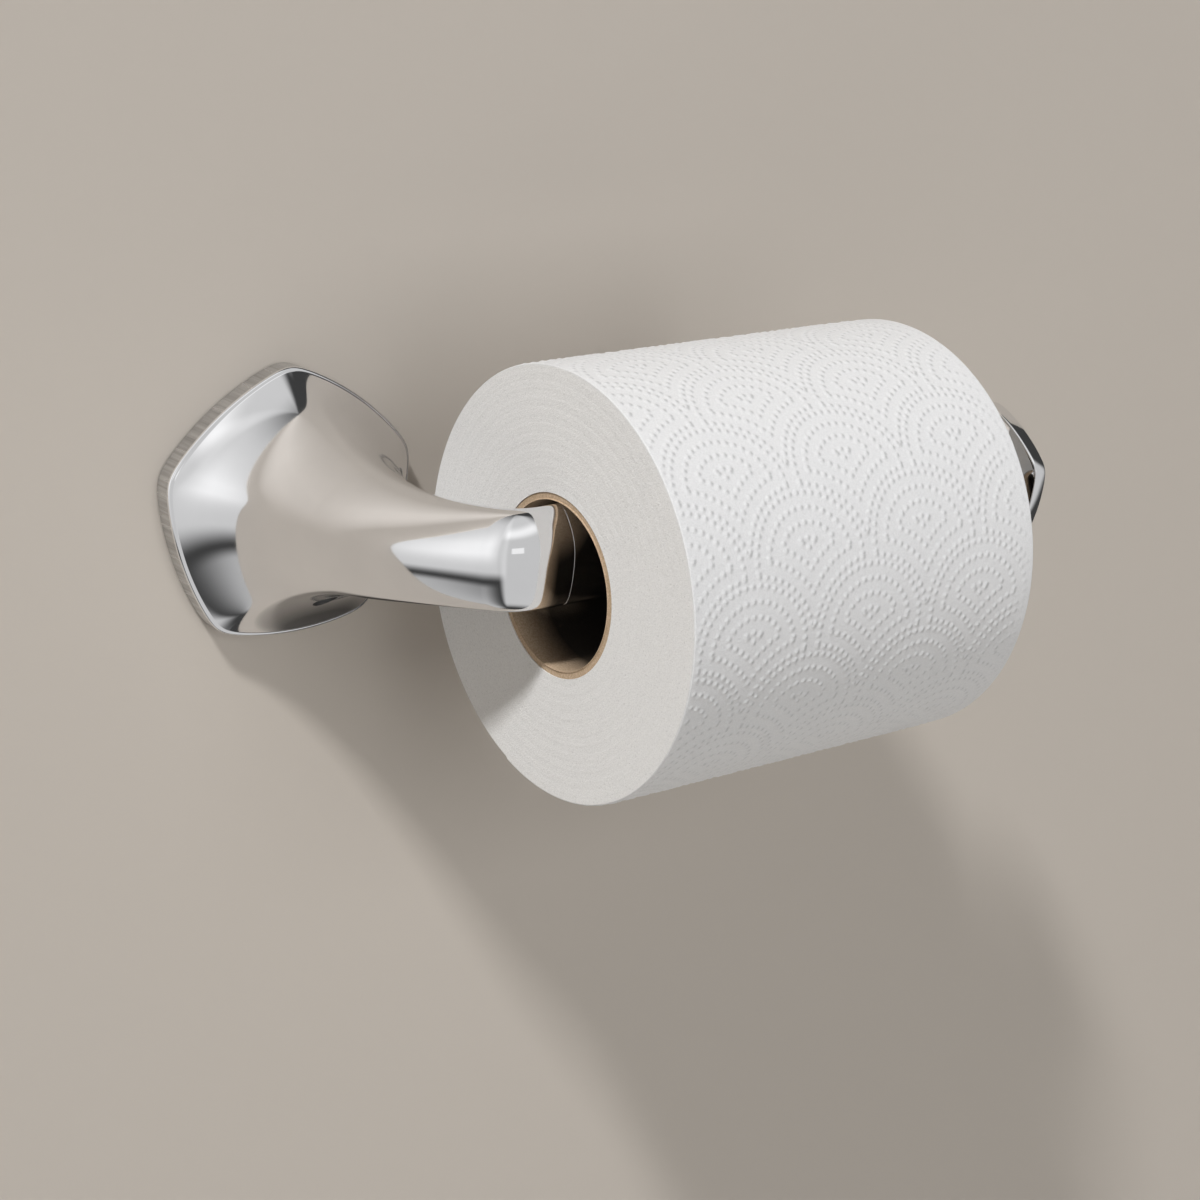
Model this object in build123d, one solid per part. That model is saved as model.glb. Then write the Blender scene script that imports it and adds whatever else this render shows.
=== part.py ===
"""Single-arm toilet paper holder, with the paper roll that hangs on its arm.

Millimetres. The origin is the middle of the base on the wall face. X runs right along the arm,
Y runs into the wall and Z is up.
"""
import os
from math import cos, exp, pi, radians, sin, sqrt

from build123d import *

# Five-sided outline shared by the base and the tip
edge_bow = 2.286            # radius of each bowed edge over the outline's apothem
corner_sharpness = 31.6     # exponent of the smooth minimum that rounds the corners
soft_sharpness = 12.0       # the same on the neck and the arm, where the corners fade
outline_points = 60
rim_turns = (0, 30, 60, 90)  # where the rounded edge of a rim is drawn, in degrees

# Post: base rim, flared neck and elbow
base_apothem = 31.86
rim_depth = 5.7
rim_round = 0.8
neck_apothem = 10.67
neck_squeeze = 1.1          # width over height of the neck, before the elbow narrows it
quick_share = 0.226         # share of the flare that falls over the quick length
quick_length = 10.7         # distance over which a part of the flare falls to 1/e
width_length = 21.8         # the same for the rest of its width
height_length = 24.4        # the same for the rest of its height
settle_length = 18.0        # the same for the move from the base's middle to the neck's
neck_shift = 1.49           # the neck stands this far to the right of the base's middle
neck_lift = 1.97
lean_angle = 30.0           # turned by the wide arc of the elbow, in degrees
lean_radius = 75.0
bend_radius = 10.0          # of the tight arc that follows
narrow_delay = 5.7          # from the start of the wide arc to where the neck begins to narrow
seam_x = 25.0
post_sections = 27
section_crowding = 1.15     # above 1, the sections stand closer together near the rim

# Arm and tip
arm_y = -80.5
arm_z = 3.2
arm_apothem = 11.6
arm_squeeze = 0.53          # width over height of the narrow outline
arm_length = 137.4          # from the seam to the outer face of the tip
tip_apothem = 17.66
tip_depth = 3.8
tip_flare = 5.5
tip_round = 0.6
tip_reach = 6.0             # the flare is drawn over this many of its lengths
tip_sections = 16
tip_crowding = 1.5

# Stud and dowel that hold the arm on the post
stud_radius = 3.0
stud_length = 20.0
dowel_radius = 1.5
dowel_length = 12.0
dowel_drop = 7.5            # the dowel lies this far under the stud
pin_chamfer = 0.2           # share of the radius that is taken off the ends
end_play = 0.5              # spare depth of a blind hole
fit_clearance = 0.05

# Wall plate, its fasteners and the set screw
shell_wall = 3.2
hollow_depth = 12.0
hollow_sections = 5
plate_radius = 25.0
plate_thickness = 3.0
boss_x = 1.5
boss_width = 15.0
boss_top = 11.0
boss_bottom = -9.0
boss_reach = 23.0
boss_clearance = 0.2
socket_overlap = 1.0        # the boss's socket starts this far inside the hollow
wall_hole_spacing = 36.0
wall_screw_radius = 2.1
wall_screw_head_radius = 4.0
wall_screw_head_height = 2.4
wall_screw_slot = 4.4       # length of each stroke of the cross recess
wall_screw_slot_width = 0.9
wall_screw_slot_depth = 1.4
wall_hole_radius = 2.4
anchor_radius = 3.0
anchor_length = 28.0
anchor_bore_depth = 13.5    # the plug is bored less than half way and is solid behind
set_screw_radius = 3.0
set_screw_length = 10.0
set_screw_key = 1.5         # half the width across flats of its hexagon socket
set_screw_key_depth = 3.0
set_screw_y = -18.0
notch_depth = 1.0
notch_width = 8.0

# Paper roll
sheet_width = 101.6
roll_radius = 51.0
roll_round = 0.8
core_outer_radius = 21.45
core_wall = 1.85
roll_left_x = 24.2
hang_gap = 0.3              # between the arm's top and the inside of the core
spin_clearance = 0.05       # radial, between the core and the paper

# Worked out from the sizes above
tip_x = seam_x + arm_length
flare_start = base_apothem - rim_round
flare_end_x = tip_x - tip_depth
wall_screw_length = plate_thickness + anchor_bore_depth - end_play
lean = radians(lean_angle)
neck_run = -arm_y - rim_depth - lean_radius * sin(lean) - bend_radius * (1 - sin(lean))
narrow_start = neck_run + narrow_delay
lean_end = neck_run + lean_radius * lean
bend_end = lean_end + bend_radius * (pi / 2 - lean)
bend_end_x = neck_shift + lean_radius * (1 - cos(lean)) + bend_radius * cos(lean)
path_end = bend_end + seam_x - bend_end_x


def outline_radius(angle, sharpness):
    """Distance to a bowed five-sided outline of apothem 1, point up: a smooth minimum of five arcs."""
    total = 0.0
    for side in range(5):
        turn = angle - radians(72 * side - 90)
        offset = edge_bow - 1
        reach = sqrt(edge_bow**2 - (offset * sin(turn)) ** 2) - offset * cos(turn)
        total += reach**-sharpness
    return total ** (-1 / sharpness)


def section(centre, heading, apothem, squeeze=1.0, sharpness=corner_sharpness):
    """Closed outline across a path; heading 0 faces the room and 90 faces along the arm."""
    across = Vector(cos(radians(heading)), sin(radians(heading)), 0)
    points = []
    for step in range(outline_points):
        angle = 2 * pi * step / outline_points
        radius = apothem * outline_radius(angle, sharpness)
        rise = Vector(0, 0, radius * sin(angle))
        points.append(Vector(*centre) + across * (squeeze * radius * cos(angle)) + rise)
    return Wire([Edge.make_spline(points, periodic=True)])


def fade(distance, length):
    """Share of a change that is done after a distance: 0 at the start, nearly 1 far away."""
    return 1 - exp(-distance / length)


def ease(share):
    """Smooth step from 0 to 1."""
    share = min(max(share, 0), 1)
    return share * share * (3 - 2 * share)


def path_point(run):
    """X, Y and heading of the post's path: straight, a wide arc, a tight arc, and straight again."""
    wide = min(max((run - neck_run) / lean_radius, 0), lean)
    tight = min(max((run - lean_end) / bend_radius, 0), pi / 2 - lean)
    right = lean_radius * (1 - cos(wide)) + bend_radius * (cos(lean) - cos(lean + tight))
    forward = lean_radius * sin(wide) + bend_radius * (sin(lean + tight) - sin(lean))
    x = right + max(run - bend_end, 0)
    y = -rim_depth - min(run, neck_run) - forward
    return x, y, wide + tight


def flare_left(run, length):
    """Share of the flare that is left at a distance from the rim: a quick and a slow fall."""
    return quick_share * exp(-run / quick_length) + (1 - quick_share) * exp(-run / length)


def post_section(run, inset=0.0):
    """Section of the post at a distance along its path, with the wall taken off for the hollow inside.

    The base outline gives way to the neck's, which narrows to the arm's outline through the elbow.
    """
    x, y, heading = path_point(run)
    settled = fade(run, settle_length) / fade(path_end, settle_length)
    narrowed = ease((run - narrow_start) / (path_end - narrow_start))
    lift = neck_lift * settled + (arm_z - neck_lift) * narrowed
    centre = Vector(x + neck_shift * settled, y, lift)
    across = Vector(cos(heading), sin(heading), 0)
    size = neck_apothem + (arm_apothem - neck_apothem) * narrowed
    squeeze = neck_squeeze + (arm_squeeze - neck_squeeze) * narrowed
    wide = flare_left(run, width_length) * (1 - narrowed)
    tall = flare_left(run, height_length) * (1 - narrowed)
    points = []
    for step in range(outline_points):
        angle = 2 * pi * step / outline_points
        outer = outline_radius(angle, corner_sharpness)
        inner = outline_radius(angle, soft_sharpness)
        width = flare_start * outer * wide + size * squeeze * inner * (1 - wide) - inset * outer
        height = flare_start * outer * tall + size * inner * (1 - tall) - inset * outer
        points.append(centre + across * (width * cos(angle)) + Vector(0, 0, height * sin(angle)))
    return Wire([Edge.make_spline(points, periodic=True)])


def arm_section(x):
    """Section of the arm, which flares to the regular outline of the tip."""
    left = 1 - fade(flare_end_x - x, tip_flare)
    size = arm_apothem + (tip_apothem - tip_round - arm_apothem) * left
    squeeze = arm_squeeze + (1 - arm_squeeze) * left
    sharpness = soft_sharpness + (corner_sharpness - soft_sharpness) * left
    return section((x, arm_y, arm_z), 90, size, squeeze, sharpness)


def rod(radius, length, start, axis):
    """Round bar from a start point along an axis."""
    return extrude(Plane(start, z_dir=axis) * Circle(radius), length)


def block(low, high):
    """Box between two opposite corners."""
    size = [b - a for a, b in zip(low, high)]
    middle = [(a + b) / 2 for a, b in zip(low, high)]
    return Pos(*middle) * Box(*size)


def base_outline(depth, apothem):
    """Outline of the base at a depth from the wall."""
    return section((0, -depth, 0), 0, apothem)


def tip_outline(x, apothem):
    """Outline of the tip at a place along the arm."""
    return section((x, arm_y, arm_z), 90, apothem)


def rim_sections(place, start, end, apothem, radius):
    """Outlines of a rim that ends in a rounded edge, at the turns of its quarter circle.

    The edge begins at full size at turn 0, and at turn 90 it is one radius smaller all round.
    """
    outlines = [place(start, apothem)]
    side = radius if end > start else -radius
    for turn in (radians(angle) for angle in rim_turns):
        outlines.append(place(end - side * (1 - sin(turn)), apothem - radius * (1 - cos(turn))))
    return outlines


def seam_holes(direction):
    """Blind holes for the stud and the dowel, from the seam into the post (-1) or into the arm (1)."""
    stud = (stud_radius, stud_length, arm_z)
    dowel = (dowel_radius, dowel_length, arm_z - dowel_drop)
    return [
        rod(radius + fit_clearance, length / 2 + end_play, (seam_x, arm_y, z), (direction, 0, 0))
        for radius, length, z in (stud, dowel)
    ]


def make_post():
    """Hollow casting from the wall to the seam."""
    rim = rim_sections(base_outline, 0, rim_depth, base_apothem, rim_round)
    shares = [step / (post_sections - 1) for step in range(post_sections)]
    neck = [post_section(path_end * share**section_crowding) for share in shares]
    body = Solid.make_loft(rim, ruled=True) + Solid.make_loft(neck)

    mouth_size = flare_start - shell_wall
    mouth = Solid.make_loft([base_outline(0, mouth_size), base_outline(rim_depth, mouth_size)], ruled=True)
    hollow_step = (hollow_depth - rim_depth) / (hollow_sections - 1)
    hollow_runs = [hollow_step * step for step in range(hollow_sections)]
    hollow = Solid.make_loft([post_section(run, shell_wall) for run in hollow_runs])
    socket = block(
        (boss_x - boss_width / 2 - boss_clearance, -boss_reach - end_play, boss_bottom - boss_clearance),
        (boss_x + boss_width / 2 + boss_clearance, -hollow_depth + socket_overlap, boss_top + boss_clearance),
    )
    screw_start = (boss_x, set_screw_y, boss_bottom)
    screw_hole = rod(set_screw_radius + fit_clearance, base_apothem, screw_start, (0, 0, -1))
    return body - mouth - hollow - socket - screw_hole - seam_holes(-1)


def make_arm():
    """Narrow bar from the seam to its flared five-sided tip."""
    tails = [tip_reach * (1 - step / tip_sections) ** tip_crowding for step in range(tip_sections)]
    bar = [arm_section(seam_x)] + [arm_section(flare_end_x - tip_flare * tail) for tail in tails]
    middle = (flare_end_x + tip_x) / 2
    near = rim_sections(tip_outline, middle, flare_end_x, tip_apothem, tip_round)
    far = rim_sections(tip_outline, middle, tip_x, tip_apothem, tip_round)
    return Solid.make_loft(bar + near[::-1] + far[1:], ruled=True) - seam_holes(1)


def make_wall_plate():
    """Plate screwed to the wall, with a boss that the post slides over."""
    plate = rod(plate_radius, plate_thickness, (0, 0, 0), (0, -1, 0))
    boss = block(
        (boss_x - boss_width / 2, -boss_reach, boss_bottom),
        (boss_x + boss_width / 2, -plate_thickness, boss_top),
    )
    notch = block(
        (boss_x - notch_width / 2, set_screw_y - notch_width / 2, boss_bottom),
        (boss_x + notch_width / 2, set_screw_y + notch_width / 2, boss_bottom + notch_depth),
    )
    holes = [rod(wall_hole_radius, plate_thickness, (x, 0, 0), (0, -1, 0)) for x in wall_hole_places()]
    return plate + boss - notch - holes


def wall_hole_places():
    """X of the two wall screws."""
    return (-wall_hole_spacing / 2, wall_hole_spacing / 2)


def make_wall_screws():
    """Two pan-head screws through the plate."""
    screws = []
    for x in wall_hole_places():
        head = rod(wall_screw_head_radius, wall_screw_head_height, (x, -plate_thickness, 0), (0, -1, 0))
        head = fillet(head.faces().sort_by(Axis.Y)[0].edges(), wall_screw_head_height / 2)
        shank = rod(wall_screw_radius, wall_screw_length, (x, -plate_thickness, 0), (0, 1, 0))
        shank = chamfer(shank.faces().sort_by(Axis.Y)[-1].edges(), wall_screw_radius / 2)
        top = -plate_thickness - wall_screw_head_height
        strokes = ((wall_screw_slot, wall_screw_slot_width), (wall_screw_slot_width, wall_screw_slot))
        slots = [
            block((x - long / 2, top, -wide / 2), (x + long / 2, top + wall_screw_slot_depth, wide / 2))
            for long, wide in strokes
        ]
        screws.append(head + shank - slots)
    return Compound(screws)


def make_wall_anchors():
    """Two plastic plugs in the wall, which the screws grip in a blind bore."""
    plugs = []
    for x in wall_hole_places():
        plug = rod(anchor_radius, anchor_length, (x, 0, 0), (0, 1, 0))
        plugs.append(plug - rod(wall_screw_radius + fit_clearance, anchor_bore_depth, (x, 0, 0), (0, 1, 0)))
    return Compound(plugs)


def make_set_screw():
    """Headless screw that clamps the post on the plate's boss."""
    foot = boss_bottom + notch_depth
    screw = rod(set_screw_radius, set_screw_length, (boss_x, set_screw_y, foot), (0, 0, -1))
    key = Plane((boss_x, set_screw_y, foot - set_screw_length), z_dir=(0, 0, 1)) * RegularPolygon(
        set_screw_key, 6, major_radius=False
    )
    return screw - extrude(key, set_screw_key_depth)


def make_pin(radius, length, z):
    """Round pin across the seam, half in the post and half in the arm."""
    pin = rod(radius, length, (seam_x - length / 2, arm_y, z), (1, 0, 0))
    ends = pin.faces().filter_by(GeomType.PLANE).edges()
    return chamfer(ends, radius * pin_chamfer)


def roll_axis_z():
    """Height of the roll's axis: the inside of the core hangs just over the top of the arm."""
    arm_top = arm_z + arm_apothem * outline_radius(pi / 2, soft_sharpness)
    return arm_top + hang_gap - (core_outer_radius - core_wall)


def tube(outer, inner, round_edge):
    """Tube as wide as the sheet, on the roll's axis."""
    start = (roll_left_x, arm_y, roll_axis_z())
    body = rod(outer, sheet_width, start, (1, 0, 0))
    if round_edge > 0:
        body = fillet(body.edges().filter_by(GeomType.CIRCLE), round_edge)
    return body - rod(inner, sheet_width, start, (1, 0, 0))


parts = {
    "post": make_post(),
    "arm": make_arm(),
    "arm_stud": make_pin(stud_radius, stud_length, arm_z),
    "arm_dowel": make_pin(dowel_radius, dowel_length, arm_z - dowel_drop),
    "wall_plate": make_wall_plate(),
    "wall_screws": make_wall_screws(),
    "wall_anchors": make_wall_anchors(),
    "set_screw": make_set_screw(),
    "core": tube(core_outer_radius, core_outer_radius - core_wall, 0),
    "paper": tube(roll_radius, core_outer_radius + spin_clearance, roll_round),
}

os.makedirs("parts", exist_ok=True)
for node, shape in parts.items():
    export_step(shape, f"parts/{node}.step")
    box = shape.bounding_box()
    print(node, "volume", round(shape.volume), "solids", len(shape.solids()), "box", box.min, box.max)
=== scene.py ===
# %% [markdown]
# A chrome toilet paper holder on a wall, with a roll hanging on its arm. The solids of the holder
# are loaded first and stay where they are. This lesson then lays finer skins over the pieces that
# show: mirror-smooth chrome for the post and the arm, and embossed tissue for the roll.

import bpy
import numpy as np
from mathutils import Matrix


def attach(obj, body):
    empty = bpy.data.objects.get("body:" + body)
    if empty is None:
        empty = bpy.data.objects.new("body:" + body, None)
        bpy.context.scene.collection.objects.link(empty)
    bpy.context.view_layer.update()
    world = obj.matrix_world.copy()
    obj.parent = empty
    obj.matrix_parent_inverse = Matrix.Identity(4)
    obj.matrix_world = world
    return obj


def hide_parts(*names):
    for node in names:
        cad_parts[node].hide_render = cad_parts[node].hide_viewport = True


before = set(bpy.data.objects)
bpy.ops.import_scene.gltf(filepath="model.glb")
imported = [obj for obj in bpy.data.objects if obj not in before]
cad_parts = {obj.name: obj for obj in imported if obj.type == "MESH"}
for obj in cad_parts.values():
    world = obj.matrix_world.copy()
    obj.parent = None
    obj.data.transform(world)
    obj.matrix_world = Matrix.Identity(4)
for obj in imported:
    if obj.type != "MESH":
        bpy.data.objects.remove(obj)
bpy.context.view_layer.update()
MM = 0.001
SHARP_ANGLE = np.radians(40)
print("solids:", sorted(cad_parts))

# %% [markdown]
# Every new skin is a grid of points: rows along the piece, and a closed loop of points in each row.
# One helper turns such a grid into a mesh. Caps close the ends with a fan of triangles, and the sign
# of the enclosed volume says whether the faces point outwards, so no skin can come out inside out.


# %% Grid of points to mesh
def ring_faces(rows, columns, closed=True):
    """Quads between neighbouring rows: (r, c), (r, c+1), (r+1, c+1), (r+1, c)."""
    last = columns if closed else columns - 1
    r, c = np.meshgrid(np.arange(rows - 1), np.arange(last), indexing="ij")
    d = (c + 1) % columns
    quads = [r * columns + c, r * columns + d, (r + 1) * columns + d, (r + 1) * columns + c]
    return np.stack(quads, axis=-1).reshape(-1, 4)


def fan_faces(first, columns, centre):
    """Triangles from one row of points to a centre point."""
    c = np.arange(columns)
    return np.stack([first + c, first + (c + 1) % columns, np.full(columns, centre)], axis=-1)


def signed_volume(points, quads, triangles):
    """Volume by summing triple products of triangles with the origin; minus means inside out."""
    corners = np.concatenate([quads[:, [0, 1, 2]], quads[:, [0, 2, 3]], triangles])
    a, b, c = (points[corners[:, k]] for k in range(3))
    return np.einsum("ij,ij->", a, np.cross(b, c)) / 6


def make_skin(name, grid, closed=True, caps=False, outward=True):
    """Mesh object from a grid (rows, columns, xyz) in millimetres."""
    rows, columns = grid.shape[:2]
    points = grid.reshape(-1, 3)
    quads = ring_faces(rows, columns, closed)
    triangles = np.zeros((0, 3), int)
    if caps:
        points = np.concatenate([points, grid[:1].mean(axis=1), grid[-1:].mean(axis=1)])
        start = fan_faces(0, columns, rows * columns)[:, ::-1]
        end = fan_faces((rows - 1) * columns, columns, rows * columns + 1)
        triangles = np.concatenate([start, end])
    if outward and signed_volume(points - points.mean(axis=0), quads, triangles) < 0:
        quads, triangles = quads[:, ::-1], triangles[:, ::-1]
    mesh = bpy.data.meshes.new(name)
    mesh.from_pydata((points * MM).tolist(), [], quads.tolist() + triangles.tolist())
    mesh.shade_smooth()
    mesh.set_sharp_from_angle(angle=SHARP_ANGLE)
    mesh.update()
    skin = bpy.data.objects.new(name, mesh)
    bpy.context.scene.collection.objects.link(skin)
    print(name, "has", len(quads) * 2 + len(triangles), "triangles")
    return skin


# %% [markdown]
# The base and the tip share one outline: a pentagon with bowed edges and round corners, point up.
# It could be drawn from ten arcs. A smooth minimum of five circle arcs gives the same outline from
# one formula, and a single exponent then fades the corners on the slim neck and arm.

# %% Five-sided outline
side_count = 5
edge_bow = 2.286
corner_sharpness = 31.6
soft_sharpness = 12.0
outline_points = 240
turn_of = np.linspace(0, 2 * np.pi, outline_points, endpoint=False)


def outline_radius(angle, sharpness):
    """Distance to the outline of apothem 1: (sum over sides of reach to its arc ** -s) ** (-1/s)."""
    sides = np.radians(360 / side_count * np.arange(side_count) - 90)
    turn = angle[None] - sides.reshape(-1, *[1] * angle.ndim)
    offset = edge_bow - 1
    reach = np.sqrt(edge_bow**2 - (offset * np.sin(turn)) ** 2) - offset * np.cos(turn)
    return np.sum(reach**-sharpness, axis=0) ** (-1 / sharpness)


def sections(x, y, z, heading, size, squeeze=1.0, sharpness=corner_sharpness):
    """Outlines across a path: centre + across * squeeze * r cos t + up * r sin t, one row each."""
    values = np.broadcast_arrays(*map(np.atleast_1d, (x, y, z, heading, size, squeeze, sharpness)))
    x, y, z, heading, size, squeeze, sharpness = (value[:, None] for value in values)
    radius = size * outline_radius(np.broadcast_to(turn_of, (len(x), outline_points)), sharpness)
    across = squeeze * radius * np.cos(turn_of)
    up = radius * np.sin(turn_of)
    return np.stack([x + across * np.cos(heading), y + across * np.sin(heading), z + up], axis=-1)


def fade(distance, length):
    """Share of a change that is done after a distance: 1 - exp(-distance / length)."""
    return 1 - np.exp(-distance / length)


base_apothem = 31.86
across_corners = np.ptp(sections(0, 0, 0, 0, base_apothem)[0][:, 0])
print("base outline is", round(across_corners, 1), "mm wide")

# %% [markdown]
# The post is one casting: a straight rim against the wall, a flare that falls to a neck, and an elbow
# that leans to the right at first and then turns tightly into the arm. A mirror shows every ripple of
# a coarse mesh, so the skin is worked out row by row from one law instead of being bent by hand. The
# law has a path, and at each place on the path a width and a height for the outline.

# %% Path of the post
rim_depth, rim_round = 5.7, 0.8
neck_shift, neck_lift, settle_length = 1.49, 1.97, 18.0
lean, lean_radius, bend_radius = np.radians(30.0), 75.0, 10.0
seam_x = 25.0
arm_y, arm_z = -80.5, 3.2
neck_run = -arm_y - rim_depth - lean_radius * np.sin(lean) - bend_radius * (1 - np.sin(lean))
lean_end = neck_run + lean_radius * lean
bend_end = lean_end + bend_radius * (np.pi / 2 - lean)
bend_end_x = neck_shift + lean_radius * (1 - np.cos(lean)) + bend_radius * np.cos(lean)
path_end = bend_end + seam_x - bend_end_x


def path_point(run):
    """Straight run, arc of a wide radius, arc of a tight radius, straight run: x, y and heading."""
    wide = np.clip((run - neck_run) / lean_radius, 0, lean)
    tight = np.clip((run - lean_end) / bend_radius, 0, np.pi / 2 - lean)
    right = lean_radius * (1 - np.cos(wide)) + bend_radius * (np.cos(lean) - np.cos(lean + tight))
    forward = lean_radius * np.sin(wide) + bend_radius * (np.sin(lean + tight) - np.sin(lean))
    x = right + np.maximum(run - bend_end, 0)
    y = -rim_depth - np.minimum(run, neck_run) - forward
    return x, y, wide + tight


print("path from rim to seam is", round(path_end, 1), "mm long")

# %% [markdown]
# The flare falls in two parts, a quick one near the rim and a slow one along the neck, and its height
# falls a little slower than its width. The neck is wider than it is high until the elbow squeezes it
# to the slim outline of the arm, which makes the flat front face beside the roll. Bridging a few drawn
# outlines would be quicker, but a mirror would show each of them.

# %% Outlines along the post
neck_apothem, neck_squeeze = 10.67, 1.1
quick_share, quick_length = 0.226, 10.7
width_length, height_length = 21.8, 24.4
narrow_delay = 5.7
narrow_start = neck_run + narrow_delay
arm_apothem, arm_squeeze = 11.6, 0.53
flare_start = base_apothem - rim_round


def ease(share):
    """Smooth step: 3 s^2 - 2 s^3 between 0 and 1."""
    share = np.clip(share, 0, 1)
    return share * share * (3 - 2 * share)


def flare_left(run, length):
    """Share of the flare left after a run: q exp(-run / quick) + (1 - q) exp(-run / length)."""
    return quick_share * np.exp(-run / quick_length) + (1 - quick_share) * np.exp(-run / length)


def post_rows(run, inset=0.0):
    """Outline at each run: base outline * share left + neck outline * the rest, narrowed to the arm's."""
    run = run[:, None]
    x, y, heading = path_point(run)
    settled = fade(run, settle_length) / fade(path_end, settle_length)
    narrowed = ease((run - narrow_start) / (path_end - narrow_start))
    lift = neck_lift * settled + (arm_z - neck_lift) * narrowed
    size = neck_apothem + (arm_apothem - neck_apothem) * narrowed
    squeeze = neck_squeeze + (arm_squeeze - neck_squeeze) * narrowed
    wide = flare_left(run, width_length) * (1 - narrowed)
    tall = flare_left(run, height_length) * (1 - narrowed)
    outer = outline_radius(turn_of, corner_sharpness)
    inner = outline_radius(turn_of, soft_sharpness)
    width = flare_start * outer * wide + size * squeeze * inner * (1 - wide) - inset * outer
    height = flare_start * outer * tall + size * inner * (1 - tall) - inset * outer
    across = width * np.cos(turn_of)
    centre_x = x + neck_shift * settled
    return np.stack(
        [centre_x + across * np.cos(heading), y + across * np.sin(heading), lift + height * np.sin(turn_of)],
        axis=-1,
    )


print("neck narrows to the arm from", round(narrow_start, 1), "mm along the path")

# %% [markdown]
# One grid makes the skin of the post: from the inside of the hollow, round the rim and along the path to
# the seam. Separate meshes for the inside and the outside would leave a crack at the rim.

# %% Post
shell_wall, hollow_depth = 3.2, 12.0
edge_round, seam_round = 0.2, 0.1
corner_steps, hollow_steps, mouth_steps, side_steps = 7, 8, 5, 8
post_steps, post_crowding = 200, 1.1
quarter = np.radians(np.linspace(0, 90, corner_steps))


def rim_rows(depth, size):
    """Rows of the base rim at a depth from the wall."""
    return sections(0.0, -depth, 0.0, 0.0, size)


def seam_rows(side):
    """Rounded edge of the seam, on the post's side (-1) or the arm's (1), ending at the seam."""
    x = seam_x + side * seam_round * (1 - np.sin(quarter))
    size = arm_apothem - seam_round * (1 - np.cos(quarter))
    return sections(x, arm_y, arm_z, np.pi / 2, size, arm_squeeze, soft_sharpness)


mouth = flare_start - shell_wall
back_edge = base_apothem - edge_round * (1 - np.cos(quarter))
front_edge = base_apothem - rim_round * (1 - np.cos(quarter))
post_runs = (path_end - seam_round) * np.linspace(0, 1, post_steps) ** post_crowding
post_grid = np.concatenate([
    post_rows(np.linspace(hollow_depth - rim_depth, 0, hollow_steps), shell_wall),
    rim_rows(np.linspace(rim_depth, 0, mouth_steps), mouth)[1:],
    rim_rows(edge_round * (1 - np.sin(quarter)), back_edge)[::-1],
    rim_rows(np.linspace(edge_round, rim_depth - rim_round, side_steps), base_apothem)[1:-1],
    rim_rows(rim_depth - rim_round * (1 - np.sin(quarter)), front_edge),
    post_rows(post_runs)[1:-1],
    seam_rows(-1),
])
post_skin = make_skin("post_skin", post_grid, caps=True)
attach(post_skin, "holder")
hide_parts("post")

# %% [markdown]
# The set screw goes in from below, so its hole shows as a dark slit under the flare. A round hole
# through a curved skin is easiest to cut as a real hole: a short cylinder is taken away once, and
# the result is kept as the skin's own mesh.

# %% Set screw hole
set_screw_at = np.array([1.5, -18.0, -9.0])
set_screw_radius = 3.05


def drum(name, start, radius, length, axis, columns=64):
    """Closed cylinder: a circle of points carried along one axis."""
    turn = np.linspace(0, 2 * np.pi, columns, endpoint=False)
    grid = np.zeros((2, columns, 3)) + start
    side, other = [k for k in range(3) if k != axis]
    grid[..., side] += radius * np.cos(turn)
    grid[..., other] += radius * np.sin(turn)
    grid[1, :, axis] += length
    return make_skin(name, grid, caps=True)


def cut(skin, tool):
    """Takes a closed tool away from a skin and keeps the result as the skin's mesh."""
    boolean = skin.modifiers.new("hole", "BOOLEAN")
    boolean.object = tool
    boolean.solver = "EXACT"
    shown = skin.evaluated_get(bpy.context.evaluated_depsgraph_get())
    mesh = bpy.data.meshes.new_from_object(shown)
    skin.modifiers.clear()
    skin.data = mesh
    mesh.set_sharp_from_angle(angle=SHARP_ANGLE)
    bpy.data.objects.remove(tool)
    print(skin.name, "now has", len(mesh.polygons), "faces")


cut(post_skin, drum("screw_hole", set_screw_at, set_screw_radius, -base_apothem, 2))

# %% [markdown]
# The arm starts at the seam, where both edges are rounded a little, so that the joint shows as the
# hairline in the photograph. It stays slim through the roll and then flares to a small copy of the
# base outline, which keeps the roll from sliding off. It could share a mesh with the post, but the arm
# is a piece of its own, so it gets its own skin.

# %% Arm
arm_length = 137.4
tip_apothem, tip_depth, tip_flare, tip_round = 17.66, 3.8, 5.5, 0.6
plain_steps, flare_steps = 12, 60
flare_lengths, flare_crowding = 7, 1.6
tip_x = seam_x + arm_length
flare_end = tip_x - tip_depth


def arm_rows(x):
    """Slim outline that opens to the tip's size over the last few flare lengths."""
    left = 1 - fade(flare_end - x, tip_flare)
    size = arm_apothem + (tip_apothem - tip_round - arm_apothem) * left
    squeeze = arm_squeeze + (1 - arm_squeeze) * left
    sharpness = soft_sharpness + (corner_sharpness - soft_sharpness) * left
    return sections(x, arm_y, arm_z, np.pi / 2, size, squeeze, sharpness)


def tip_rows(x, size):
    """Rows of the tip's rim."""
    return sections(x, arm_y, arm_z, np.pi / 2, size)


tip_edge = tip_apothem - tip_round * (1 - np.cos(quarter))
flare_x = flare_end - flare_lengths * tip_flare * np.linspace(1, 0, flare_steps) ** flare_crowding
arm_grid = np.concatenate([
    seam_rows(1)[::-1],
    arm_rows(np.linspace(seam_x + seam_round, flare_x[0], plain_steps))[1:-1],
    arm_rows(flare_x),
    tip_rows(flare_end + tip_round * (1 - np.sin(quarter)), tip_edge)[-2::-1],
    tip_rows(tip_x - tip_round * (1 - np.sin(quarter)), tip_edge),
])
arm_skin = make_skin("arm_skin", arm_grid, caps=True)
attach(arm_skin, "holder")
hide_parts("arm")

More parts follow.
